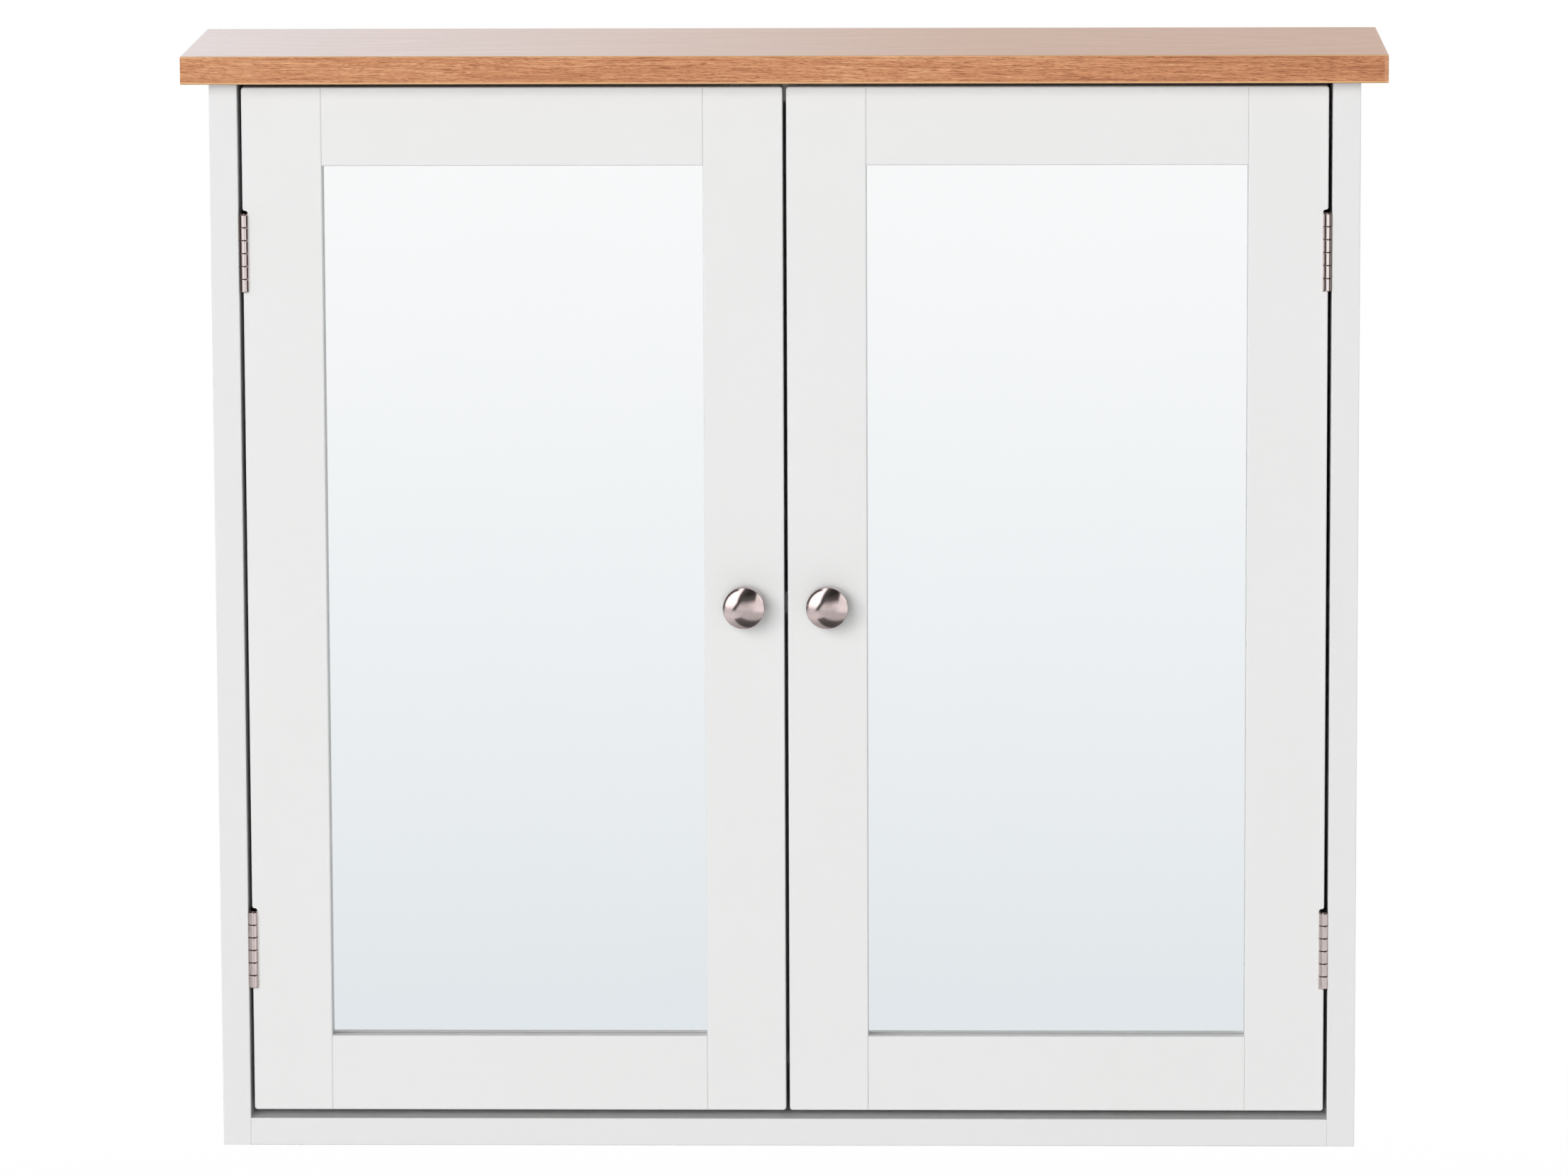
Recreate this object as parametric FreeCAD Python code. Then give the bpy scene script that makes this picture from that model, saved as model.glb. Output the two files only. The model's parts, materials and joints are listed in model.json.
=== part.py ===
import FreeCAD, Part
import math
import os
from FreeCAD import Placement, Rotation, Vector

# Two-door mirror cabinet for a bathroom wall, in millimetres.
# +X is to the right and +Y into the wall, so the doors face -Y. +Z is up.
# The origin is on the wall plane, midway between the two wall screws.

# Whole cabinet
top_width = 600.0
cabinet_height = 556.0
cabinet_depth = 150.0

# Top board with its glued edging
top_thickness = 14.0
top_overhang_side = 13.0
top_overhang_front = 13.0
front_edging = 1.0
end_edging = 2.0
edging_round = 0.4

# Painted carcass boards
side_thickness = 14.0
bottom_thickness = 14.0
board_round = 0.6

# Back panel, set flush into a rebate in the sides
back_thickness = 3.0
back_rebate = 6.0
nail_radius = 0.65
nail_length = 15.0
nail_head_radius = 1.5
nail_head_height = 0.5
nail_edge = 35.0
nails_per_side = 4

# Hanging rail that the wall screws go through
rail_height = 60.0
rail_thickness = 14.0
wall_screw_spacing = 400.0
wall_screw_hole = 5.5

# Shelf on four ledge pins, with spare rows of holes above and below
shelf_thickness = 12.0
shelf_front_gap = 15.5
shelf_drop = 262.0
shelf_side_gap = 0.8
shelf_back_gap = 0.5
shelf_round = 1.5
pin_hole_pitch = 64.0
pin_hole_depth = 9.0
pin_peg_radius = 2.5
pin_inset = 22.0
pin_ledge_reach = 10.0
pin_ledge_width = 12.0
pin_ledge_height = 2.5
pin_plate_height = 11.0
pin_plate_thickness = 2.0

# Cam fittings and wooden dowels in the carcass joints
cam_radius = 7.5
cam_height = 10.0
cam_setback = 24.0
cam_slot_width = 1.4
cam_slot_depth = 1.5
bolt_thread_radius = 2.5
bolt_thread_length = 10.0
bolt_shaft_radius = 3.0
bolt_neck_radius = 1.6
bolt_neck_length = 4.0
bolt_head_radius = 2.8
bolt_head_length = 3.0
dowel_radius = 4.0
dowel_length = 30.0
dowel_in_face = 9.5
dowel_chamfer = 0.8
cam_from_edge = 32.0
dowel_from_edge = 56.0
rail_fitting_spread = 30.0

# Doors
door_thickness = 16.0
door_setback = 2.0
door_gap_side = 1.85
door_gap_middle = 1.8
door_gap_top = 2.85
door_gap_bottom = 4.0
stile_width = 40.0
top_rail_width = 39.45
bottom_rail_width = 38.5
door_corner_round = 1.5
door_round = 0.8
frame_dowel_radius = 3.0
frame_dowel_length = 36.0
frame_dowel_spread = 18.0

# Mirror pane, backing board and glazing beads in the rear rebate
lip_thickness = 7.5
lip_back_bevel = 1.5
glass_rebate = 6.0
glass_thickness = 3.0
glass_gap = 0.3
backing_thickness = 2.5

# Butt hinges
hinge_length = 39.0
hinge_inset = 63.5
knuckles = 6
knuckle_gap = 0.45
knuckle_bevel = 0.25
pin_radius = 1.2
leaf_thickness = 1.0
leaf_width = 15.0
leaf_corner_round = 2.0
hinge_proud = 1.4
gain_end_gap = 0.4
pin_end_height = 0.25
hinge_screw_radius = 1.3
hinge_screw_length = 10.0
hinge_screw_end = 7.0
screw_tip = 2.0

# Knobs
knob_radius = 10.55
knob_height = 20.5
knob_dome = 4.4
knob_tip_flat = 0.4
knob_edge_round = 1.0
knob_rim = 5.0
knob_back_round = 2.5
knob_neck_radius = 4.6
knob_foot_radius = 6.6
knob_foot_height = 1.6
knob_screw_radius = 2.0
knob_screw_engagement = 9.0
knob_screw_hole = 4.5
knob_screw_head_radius = 4.0
knob_screw_head_height = 2.6

# Twin magnetic catch under the top board and its strike plates
catch_spread = 24.0
catch_pocket_width = 14.0
catch_pocket_height = 9.0
catch_wall = 1.5
catch_depth = 18.0
catch_ear = 10.0
catch_ear_thickness = 3.0
catch_slot_travel = 3.0
catch_screw_radius = 1.6
catch_screw_length = 12.0
catch_screw_head_radius = 3.3
catch_screw_head_height = 2.0
pole_thickness = 1.2
pole_proud = 1.0
strike_gap = 0.3
strike_width = 18.0
strike_height = 13.0
strike_thickness = 1.0
strike_edge_gap = 1.0
strike_screw_radius = 1.25
strike_screw_length = 10.0

# Clearances
running_gap = 0.05
seat_gap = 0.1
through = 1.0

# Places worked out from the sizes above
top_under = rail_height / 2
top_face = top_under + top_thickness
base = top_face - cabinet_height
carcass_half = top_width / 2 - top_overhang_side
inside_half = carcass_half - side_thickness
carcass_front = -(cabinet_depth - top_overhang_front)
floor_face = base + bottom_thickness
back_face = -back_thickness
rail_face = back_face - rail_thickness

door_front = carcass_front + door_setback
door_back = door_front + door_thickness
door_top = top_under - door_gap_top
door_bottom = floor_face + door_gap_bottom
door_outer = -inside_half + door_gap_side
door_inner = -door_gap_middle / 2
door_middle = (door_top + door_bottom) / 2

opening_x = (door_outer + stile_width, door_inner - stile_width)
opening_z = (door_bottom + bottom_rail_width, door_top - top_rail_width)
glass_front = door_front + lip_thickness
glass_back = glass_front + glass_thickness
backing_back = glass_back + backing_thickness

bore_radius = pin_radius + running_gap
barrel_radius = bore_radius + leaf_thickness
hinge_axis_x = -inside_half + barrel_radius
hinge_axis_y = door_front - hinge_proud
gain_depth = 2 * barrel_radius - door_gap_side
plate_start = barrel_radius + knuckle_gap
hinge_bottoms = {"upper": door_top - hinge_inset - hinge_length, "lower": door_bottom + hinge_inset}

shelf_top = top_under - shelf_drop
shelf_under = shelf_top - shelf_thickness
shelf_back = back_face - shelf_back_gap
shelf_front = door_back + shelf_front_gap
pin_axis_z = shelf_under - pin_plate_height / 2
knob_x = door_inner - stile_width / 2

strike_back = door_back + strike_thickness
pole_front = strike_back + strike_gap
catch_front = pole_front + pole_proud
catch_back = catch_front + catch_depth
catch_x = catch_spread / 2
catch_half = catch_x + catch_pocket_width / 2 + catch_wall
catch_under = top_under - catch_pocket_height - 2 * catch_wall
pocket_under = catch_under + catch_wall
strike_top = door_top - strike_edge_gap

TOUCH = 1e-4
HALF_RIGHT = math.sqrt(0.5)
UP = Vector(0, 0, 1)
LEFT_MIRROR = (Vector(0, 0, 0), Vector(1, 0, 0))


# Shape helpers

def block(x, y, z):
    """Box between three (low, high) pairs."""
    return Part.makeBox(x[1] - x[0], y[1] - y[0], z[1] - z[0], Vector(x[0], y[0], z[0]))


def rod(start, direction, radius, length):
    """Round bar from a point along a direction."""
    return Part.makeCylinder(radius, length, Vector(*start), Vector(*direction))


def turned(edges, start, direction):
    """Solid of revolution from (radius, height) edges, stood at a point along a direction."""
    face = Part.Face(Part.Wire(edges))
    solid = face.revolve(Vector(0, 0, 0), UP, 360)
    solid.Placement = Placement(Vector(*start), Rotation(UP, Vector(*direction)))
    return solid


def profile(points):
    """Closed straight-sided half section through (radius, height) points."""
    loop = [Vector(r, 0, h) for r, h in points]
    return Part.makePolygon(loop + loop[:1]).Edges


def bevelled_rod(start, direction, radius, length, bevel):
    """Round bar with a bevel round both ends."""
    points = [
        (0, 0),
        (radius - bevel, 0),
        (radius, bevel),
        (radius, length - bevel),
        (radius - bevel, length),
        (0, length),
    ]
    return turned(profile(points), start, direction)


def line(a, b):
    return Part.LineSegment(Vector(*a), Vector(*b)).toShape()


def arc(a, middle, b):
    return Part.Arc(Vector(*a), Vector(*middle), Vector(*b)).toShape()


def edges_at(shape, **places):
    """Edges whose ends all lie at the given coordinates."""
    def lies(edge):
        return all(
            abs(getattr(vertex.Point, axis) - place) < TOUCH
            for vertex in edge.Vertexes
            for axis, place in places.items()
        )
    return [edge for edge in shape.Edges if lies(edge)]


def rounded(shape, radius, *places):
    """Fillets the edges found at each set of coordinates."""
    edges = []
    for place in places:
        found = edges_at(shape, **place)
        edges += [e for e in found if not any(e.isSame(kept) for kept in edges)]
    return shape.makeFillet(radius, edges)


def drilled(shape, holes):
    return shape.cut(Part.makeCompound(holes)).removeSplitter()


def mirrored(shape):
    return shape.mirror(*LEFT_MIRROR)


def both_sides(shapes):
    return list(shapes) + [mirrored(shape) for shape in shapes]


def group(shapes):
    return Part.makeCompound(list(shapes))


def countersunk_screw(start, direction, radius, head_height, length):
    """Wood screw with a 90 degree flat head; start is the middle of the head's face."""
    head = radius + head_height
    points = [(0, 0), (head, 0), (radius, head_height), (radius, length - screw_tip), (0, length)]
    return turned(profile(points), start, direction)


def countersunk_hole(start, direction, radius, head_height, length):
    """Room for a countersunk screw with a hair of clearance all round."""
    return countersunk_screw(start, direction, radius + running_gap, head_height, length + running_gap)


# Carcass joints: where the cams, bolts and dowels go

def joint_depths(distance):
    """The two places along the depth of a joint, the same distance from its front and back."""
    return (carcass_front + distance, back_face - distance)


side_middle = -(carcass_half + inside_half) / 2
bottom_middle = (base + floor_face) / 2
rail_middle = (rail_face + back_face) / 2
rail_cam_z = rail_fitting_spread / 2
rail_nail_z = rail_height / 4

# Each fitting on the left: the point where the joint's faces meet, the way into the
# board with the cam, and the way that the cam's open face looks.
cam_joints = (
    [((side_middle, y, top_under), (0, 0, -1), (1, 0, 0)) for y in joint_depths(cam_from_edge)]
    + [((-inside_half, y, bottom_middle), (1, 0, 0), (0, 0, -1)) for y in joint_depths(cam_from_edge)]
    + [((-inside_half, rail_middle, rail_cam_z), (1, 0, 0), (0, 1, 0))]
)
cam_faces = {(1, 0, 0): -inside_half, (0, 0, -1): base, (0, 1, 0): back_face}
dowel_joints = (
    [((side_middle, y, top_under), (0, 0, -1)) for y in joint_depths(dowel_from_edge)]
    + [((-inside_half, y, bottom_middle), (1, 0, 0)) for y in joint_depths(dowel_from_edge)]
    + [((-inside_half, rail_middle, -rail_cam_z), (1, 0, 0))]
)


def along(point, direction, distance):
    return tuple(p + d * distance for p, d in zip(point, direction))


def cam_seat(joint):
    """Middle of the cam's open face, and the way into its hole."""
    point, inward, looks = joint
    seat = list(along(point, inward, cam_setback))
    axis = [abs(d) for d in looks].index(1)
    seat[axis] = cam_faces[looks]
    return tuple(seat), tuple(-d for d in looks)


def cam_holes(joint):
    """Cam hole, bolt bore in the cam's board and thread hole in the other board."""
    point, inward, _ = joint
    seat, into = cam_seat(joint)
    outward = tuple(-d for d in inward)
    return [
        rod(seat, into, cam_radius, cam_height),
        rod(point, inward, bolt_shaft_radius + seat_gap, cam_setback),
        rod(point, outward, bolt_thread_radius + running_gap, bolt_thread_length + seat_gap),
    ]


def cam_bolt(joint):
    point, inward, _ = joint
    neck = cam_setback - bolt_head_length / 2 - bolt_neck_length
    points = [
        (0, -bolt_thread_length),
        (bolt_thread_radius, -bolt_thread_length),
        (bolt_thread_radius, 0),
        (bolt_shaft_radius, 0),
        (bolt_shaft_radius, neck),
        (bolt_neck_radius, neck),
        (bolt_neck_radius, neck + bolt_neck_length),
        (bolt_head_radius, neck + bolt_neck_length),
        (bolt_head_radius, neck + bolt_neck_length + bolt_head_length),
        (0, neck + bolt_neck_length + bolt_head_length),
    ]
    return turned(profile(points), point, inward)


def cam_lock(joint):
    """Cam with the bolt's keyway through its wall and a driver slot in its face."""
    point, inward, _ = joint
    seat, into = cam_seat(joint)
    cam = rod(seat, into, cam_radius - running_gap, cam_height - running_gap)
    keyway = rod(point, inward, bolt_shaft_radius + seat_gap, cam_setback + bolt_head_length)
    sideways = Vector(*inward).cross(Vector(*into))
    reach = Vector(*inward) * cam_radius + sideways * cam_slot_width / 2 + Vector(*into) * cam_slot_depth
    corner = Vector(*seat)
    slot = Part.makeBox(2 * abs(reach.x), 2 * abs(reach.y), 2 * abs(reach.z))
    slot.translate(corner - Vector(abs(reach.x), abs(reach.y), abs(reach.z)))
    return cam.cut(keyway).cut(slot)


def dowel_hole(joint):
    point, inward = joint
    start = along(point, inward, -dowel_in_face - seat_gap)
    return rod(start, inward, dowel_radius + running_gap, dowel_length + 2 * seat_gap)


def joint_dowel(joint):
    point, inward = joint
    start = along(point, inward, -dowel_in_face)
    return bevelled_rod(start, inward, dowel_radius, dowel_length, dowel_chamfer)


def joint_cuts():
    """Every hole of the carcass joints, on both sides."""
    left = [hole for joint in cam_joints for hole in cam_holes(joint)]
    left += [dowel_hole(joint) for joint in dowel_joints]
    return both_sides(left)


# Top board

def top_core():
    core = block(
        (-top_width / 2 + end_edging, top_width / 2 - end_edging),
        (-cabinet_depth + front_edging, 0),
        (top_under, top_face),
    )
    screws = [catch_screw_hole(side) for side in (-1, 1)]
    return drilled(core, joint_cuts() + screws)


def edging(length, depth, **outer):
    """Strip as high as the board, rounded along its outer faces, which are given by their coordinates."""
    strip = block(length, depth, (top_under, top_face))
    places = [{axis: place, "z": z} for axis, place in outer.items() for z in (top_under, top_face)]
    if len(outer) > 1:
        places.append(outer)
    return rounded(strip, edging_round, *places)


def top_front_edging():
    """Front strip, which laps over the left end's strip and stops at the right end's."""
    front = -cabinet_depth
    left = -top_width / 2
    return edging((left, top_width / 2 - end_edging), (front, front + front_edging), x=left, y=front)


def top_left_edging():
    left = -top_width / 2
    return edging((left, left + end_edging), (-cabinet_depth + front_edging, 0), x=left)


def top_right_edging():
    front = -cabinet_depth
    right = top_width / 2
    return edging((right - end_edging, right), (front, 0), x=right, y=front)


# Carcass boards

def pin_columns():
    """Places along the depth of the two shelf pins on each side."""
    return (shelf_front + pin_inset, shelf_back - pin_inset)


def pin_holes():
    """Three rows of blind pin holes in the left side; the shelf sits on the middle row."""
    return [
        rod((-inside_half, y, pin_axis_z + row * pin_hole_pitch), (-1, 0, 0),
            pin_peg_radius + running_gap, pin_hole_depth)
        for y in pin_columns()
        for row in (-1, 0, 1)
    ]


def left_side_panel():
    panel = block((-carcass_half, -inside_half), (carcass_front, 0), (base, top_under))
    panel = rounded(
        panel,
        board_round,
        {"x": -carcass_half, "y": carcass_front},
        {"x": -inside_half, "y": carcass_front},
    )
    rebate = block((-inside_half - back_rebate, -inside_half), (back_face, 0), (base, top_under))
    screws = [
        countersunk_hole(*place, hinge_screw_radius, leaf_thickness, hinge_screw_length)
        for bottom in hinge_bottoms.values()
        for place in frame_leaf_screws(bottom)
    ]
    return drilled(panel.cut(rebate), joint_cuts() + pin_holes() + screws + nail_holes())


def bottom_board():
    board = block((-inside_half, inside_half), (carcass_front, back_face), (base, floor_face))
    board = rounded(
        board,
        board_round,
        {"y": carcass_front, "z": floor_face},
        {"y": carcass_front, "z": base},
    )
    return drilled(board, joint_cuts() + nail_holes())


def wall_screw_holes():
    return [
        rod((side * wall_screw_spacing / 2, rail_face - through, 0), (0, 1, 0),
            wall_screw_hole / 2, rail_thickness + back_thickness + 2 * through)
        for side in (-1, 1)
    ]


def hanging_rail():
    rail = block((-inside_half, inside_half), (rail_face, back_face), (-rail_height / 2, top_under))
    rail = rounded(rail, board_round, {"y": rail_face, "z": -rail_height / 2})
    return drilled(rail, joint_cuts() + nail_holes() + wall_screw_holes())


def back_panel():
    half = inside_half + back_rebate
    panel = block((-half, half), (back_face, 0), (base, top_under))
    return drilled(panel, nail_holes() + wall_screw_holes())


def nail_places():
    """Nails round the back panel, as (x, z): into both sides, the bottom board and the rail."""
    side_x = inside_half + back_rebate / 2
    low = base + nail_edge
    high = top_under - nail_edge
    pitch = (high - low) / (nails_per_side - 1)
    sides = [(x, low + pitch * step) for x in (-side_x, side_x) for step in range(nails_per_side)]
    across = (-inside_half + nail_edge, 0, inside_half - nail_edge)
    return sides + [(x, z) for z in (bottom_middle, rail_nail_z) for x in across]


def nail(place, gap=0.0):
    points = [
        (0, 0),
        (nail_head_radius + gap, 0),
        (nail_head_radius + gap, nail_head_height + gap),
        (nail_radius + gap, nail_head_height + gap),
        (nail_radius + gap, nail_length + gap),
        (0, nail_length + gap),
    ]
    return turned(profile(points), (place[0], 0, place[1]), (0, -1, 0))


def nail_holes():
    return [nail(place, running_gap) for place in nail_places()]


# Shelf

def shelf():
    half = inside_half - shelf_side_gap
    board = block((-half, half), (shelf_front, shelf_back), (shelf_under, shelf_top))
    return rounded(
        board, shelf_round, {"y": shelf_front, "z": shelf_under}, {"y": shelf_front, "z": shelf_top}
    )


def shelf_pin(y):
    """Peg in the left side with a plate against it and a ledge under the shelf."""
    wall = -inside_half
    across = (y - pin_ledge_width / 2, y + pin_ledge_width / 2)
    peg = rod((wall, y, pin_axis_z), (-1, 0, 0), pin_peg_radius, pin_hole_depth - seat_gap)
    plate = block((wall, wall + pin_plate_thickness), across, (shelf_under - pin_plate_height, shelf_under))
    ledge = block((wall, wall + pin_ledge_reach), across, (shelf_under - pin_ledge_height, shelf_under))
    return peg.fuse(plate).fuse(ledge).removeSplitter()


# Hinges on the left, with the axis upright

def knuckle_spans(bottom, first):
    """(low, high) of every second knuckle, starting from the first."""
    pitch = hinge_length / knuckles
    return [
        (bottom + n * pitch + knuckle_gap / 2, bottom + (n + 1) * pitch - knuckle_gap / 2)
        for n in range(first, knuckles, 2)
    ]


def leaf(bottom, side, first):
    """Hinge leaf rolled round the pin: side -1 lies on the cabinet, +1 on the door."""
    outer = hinge_axis_x + side * barrel_radius
    inner = outer - side * leaf_thickness
    plate_x = (min(outer, inner), max(outer, inner))
    span = (bottom, bottom + hinge_length)
    far = hinge_axis_y + leaf_width
    body = block(plate_x, (hinge_axis_y + plate_start, far), span)
    body = rounded(body, leaf_corner_round, {"y": far, "z": span[0]}, {"y": far, "z": span[1]})
    for low, high in knuckle_spans(bottom, first):
        foot = (hinge_axis_x, hinge_axis_y, low)
        web = block(plate_x, (hinge_axis_y, hinge_axis_y + plate_start + through), (low, high))
        knuckle = bevelled_rod(foot, (0, 0, 1), barrel_radius, high - low, knuckle_bevel)
        body = body.fuse(web).fuse(knuckle)
    bore = rod((hinge_axis_x, hinge_axis_y, bottom), (0, 0, 1), bore_radius, hinge_length)
    body = body.cut(bore).removeSplitter()
    places = door_leaf_screws(bottom) if side > 0 else frame_leaf_screws(bottom)
    holes = [
        countersunk_hole(*place, hinge_screw_radius, leaf_thickness, hinge_screw_length)
        for place in places
    ]
    return drilled(body, holes)


def leaf_screws(bottom, side):
    """Head middle and direction of the two screws in a leaf."""
    x = hinge_axis_x + side * (barrel_radius - leaf_thickness)
    y = hinge_axis_y + (plate_start + leaf_width) / 2
    heights = (bottom + hinge_screw_end, bottom + hinge_length - hinge_screw_end)
    return [((x, y, z), (side, 0, 0)) for z in heights]


def frame_leaf_screws(bottom):
    return leaf_screws(bottom, -1)


def door_leaf_screws(bottom):
    return leaf_screws(bottom, 1)


def hinge_pin(bottom):
    """Pin with a low peened dome at each end."""
    half = pin_radius / 2
    end = hinge_length + pin_end_height
    low = -pin_end_height
    edges = [
        line((0, 0, low), (half, 0, low)),
        line((half, 0, low), (pin_radius, 0, 0)),
        line((pin_radius, 0, 0), (pin_radius, 0, hinge_length)),
        line((pin_radius, 0, hinge_length), (half, 0, end)),
        line((half, 0, end), (0, 0, end)),
        line((0, 0, end), (0, 0, low)),
    ]
    return turned(edges, (hinge_axis_x, hinge_axis_y, bottom), (0, 0, 1))


def hinge_screws(places):
    return group(
        countersunk_screw(*place, hinge_screw_radius, leaf_thickness, hinge_screw_length)
        for place in places
    )


def hinge_gain(bottom):
    """Router cut in the door's edge for a hinge: a swept S-shaped run-in above and a stop below."""
    bend = gain_depth / 2
    outside = door_outer - through
    floor = door_outer + gain_depth
    low = bottom - gain_end_gap
    high = bottom + hinge_length + gain_end_gap
    top = high + gain_depth
    bend_sag = bend * (1 - HALF_RIGHT)
    corner_sag = gain_end_gap * (1 - HALF_RIGHT)
    edges = [
        line((outside, 0, low), (floor - gain_end_gap, 0, low)),
        arc(
            (floor - gain_end_gap, 0, low),
            (floor - corner_sag, 0, low + corner_sag),
            (floor, 0, bottom),
        ),
        line((floor, 0, bottom), (floor, 0, high)),
        arc(
            (floor, 0, high),
            (floor - bend_sag, 0, high + bend - bend_sag),
            (floor - bend, 0, high + bend),
        ),
        arc(
            (door_outer + bend, 0, high + bend),
            (door_outer + bend_sag, 0, top - bend + bend_sag),
            (door_outer, 0, top),
        ),
        line((door_outer, 0, top), (outside, 0, top)),
        line((outside, 0, top), (outside, 0, low)),
    ]
    face = Part.Face(Part.Wire(edges))
    face.translate(Vector(0, door_front - through, 0))
    return face.extrude(Vector(0, door_thickness + 2 * through, 0))


# Left door

def grown(span, margin):
    return (span[0] - margin, span[1] + margin)


def rear_rebate():
    """Room behind the lip for glass, backing and beads, with the lip's rear corner bevelled."""
    rear = door_back + through
    rebate = block(grown(opening_x, glass_rebate), (glass_front, rear), grown(opening_z, glass_rebate))
    bevel_front = glass_front - lip_back_bevel
    bevel = block(grown(opening_x, lip_back_bevel), (bevel_front, rear), grown(opening_z, lip_back_bevel))
    return [rebate, bevel.makeChamfer(lip_back_bevel, edges_at(bevel, y=bevel_front))]


def frame_dowel_starts():
    """Low-x ends of the dowels that join both rails to both stiles."""
    rails = (
        (opening_z[1] + door_top) / 2,
        (opening_z[0] + door_bottom) / 2,
    )
    y = (door_front + door_back) / 2
    return [
        (x - frame_dowel_length / 2, y, rail + side * frame_dowel_spread / 2)
        for x in opening_x
        for rail in rails
        for side in (-1, 1)
    ]


def frame_dowel_holes():
    return [
        rod((x - seat_gap, y, z), (1, 0, 0),
            frame_dowel_radius + running_gap, frame_dowel_length + 2 * seat_gap)
        for x, y, z in frame_dowel_starts()
    ]


def stile(x, outer):
    """Upright of the door frame; outer is the x of its edge on the door's outline."""
    piece = block(x, (door_front, door_back), (door_bottom, door_top))
    piece = rounded(piece, door_corner_round, {"x": outer, "z": door_bottom}, {"x": outer, "z": door_top})
    piece = rounded(piece, door_round, {"y": door_front})
    return drilled(piece, rear_rebate() + frame_dowel_holes())


def hinge_stile():
    piece = stile((door_outer, opening_x[0]), door_outer)
    cuts = []
    for bottom in hinge_bottoms.values():
        cuts.append(hinge_gain(bottom))
        cuts += [
            countersunk_hole(*place, hinge_screw_radius, leaf_thickness, hinge_screw_length)
            for place in door_leaf_screws(bottom)
        ]
    return drilled(piece, cuts)


def meeting_stile():
    piece = stile((opening_x[1], door_inner), door_inner)
    knob_hole = rod(
        (knob_x, door_front - through, door_middle), (0, 1, 0),
        knob_screw_hole / 2, door_thickness + 2 * through,
    )
    return drilled(piece, [knob_hole, strike_screw_shape(running_gap)])


def rail(z, outer):
    """Crosspiece between the stiles; outer is the z of its edge on the door's outline."""
    piece = block(opening_x, (door_front, door_back), z)
    inner = z[0] if outer == z[1] else z[1]
    piece = rounded(
        piece, door_round, {"y": door_front, "z": outer}, {"y": door_front, "z": inner}
    )
    return drilled(piece, rear_rebate() + frame_dowel_holes())


def pane(y):
    margin = glass_rebate - glass_gap
    return block(grown(opening_x, margin), y, grown(opening_z, margin))


def glazing_beads():
    """Four mitred strips that hold the backing board in the rebate."""
    outside = (grown(opening_x, glass_rebate - glass_gap), grown(opening_z, glass_rebate - glass_gap))
    depth = door_back - backing_back
    (x0, x1), (z0, z1) = outside
    (u0, u1), (w0, w1) = opening_x, opening_z
    strips = [
        [(x0, z0), (x1, z0), (u1, w0), (u0, w0)],
        [(x1, z0), (x1, z1), (u1, w1), (u1, w0)],
        [(x1, z1), (x0, z1), (u0, w1), (u1, w1)],
        [(x0, z1), (x0, z0), (u0, w0), (u0, w1)],
    ]
    beads = []
    for corners in strips:
        loop = [Vector(x, backing_back, z) for x, z in corners]
        face = Part.Face(Part.makePolygon(loop + loop[:1]))
        beads.append(face.extrude(Vector(0, depth, 0)))
    return group(beads)


# Knob

def knob():
    """Domed knob with a tiny flat on its tip and a deep round-edged rim, turned about its screw."""
    rim_back = knob_height - knob_dome - knob_rim
    head_back = rim_back - knob_back_round
    waist = (knob_foot_height + head_back) / 2
    bore = knob_screw_radius + running_gap
    bore_end = knob_screw_engagement + through
    back_sag = knob_back_round * (1 - HALF_RIGHT)

    # The dome is part of a ball, and the rounded edge touches both the ball and the rim
    ball = (knob_radius ** 2 + knob_dome ** 2) / (2 * knob_dome)
    ball_middle = knob_height - ball
    edge_middle = knob_radius - knob_edge_round
    edge_lean = math.asin(edge_middle / (ball - knob_edge_round))
    edge_height = ball_middle + (ball - knob_edge_round) * math.cos(edge_lean)
    tip_lean = math.asin(knob_tip_flat / ball)

    def on_ball(lean):
        return (ball * math.sin(lean), 0, ball_middle + ball * math.cos(lean))

    def on_edge(lean):
        out = knob_edge_round * math.sin(lean)
        return (edge_middle + out, 0, edge_height + knob_edge_round * math.cos(lean))

    tip = on_ball(tip_lean)
    edges = [
        line((bore, 0, 0), (knob_foot_radius, 0, 0)),
        line((knob_foot_radius, 0, 0), (knob_foot_radius, 0, knob_foot_height)),
        arc(
            (knob_foot_radius, 0, knob_foot_height),
            (knob_neck_radius, 0, waist),
            (knob_foot_radius, 0, head_back),
        ),
        line((knob_foot_radius, 0, head_back), (knob_radius - knob_back_round, 0, head_back)),
        arc(
            (knob_radius - knob_back_round, 0, head_back),
            (knob_radius - back_sag, 0, head_back + back_sag),
            (knob_radius, 0, rim_back),
        ),
        line((knob_radius, 0, rim_back), (knob_radius, 0, edge_height)),
        arc((knob_radius, 0, edge_height), on_edge((edge_lean + math.pi / 2) / 2), on_ball(edge_lean)),
        arc(on_ball(edge_lean), on_ball((edge_lean + tip_lean) / 2), tip),
        line(tip, (0, 0, tip[2])),
        line((0, 0, tip[2]), (0, 0, bore_end)),
        line((0, 0, bore_end), (bore, 0, bore_end)),
        line((bore, 0, bore_end), (bore, 0, 0)),
    ]
    return turned(edges, (knob_x, door_front, door_middle), (0, -1, 0))


def knob_screw():
    reach = door_thickness + knob_screw_engagement
    points = [
        (0, -knob_screw_head_height),
        (knob_screw_head_radius, -knob_screw_head_height),
        (knob_screw_head_radius, 0),
        (knob_screw_radius, 0),
        (knob_screw_radius, reach),
        (0, reach),
    ]
    return turned(profile(points), (knob_x, door_back, door_middle), (0, -1, 0))


# Magnetic catch

def catch_ear_middle(side):
    return side * (catch_half + catch_ear / 2)


def catch_middle_y():
    return (catch_front + catch_back) / 2


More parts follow.
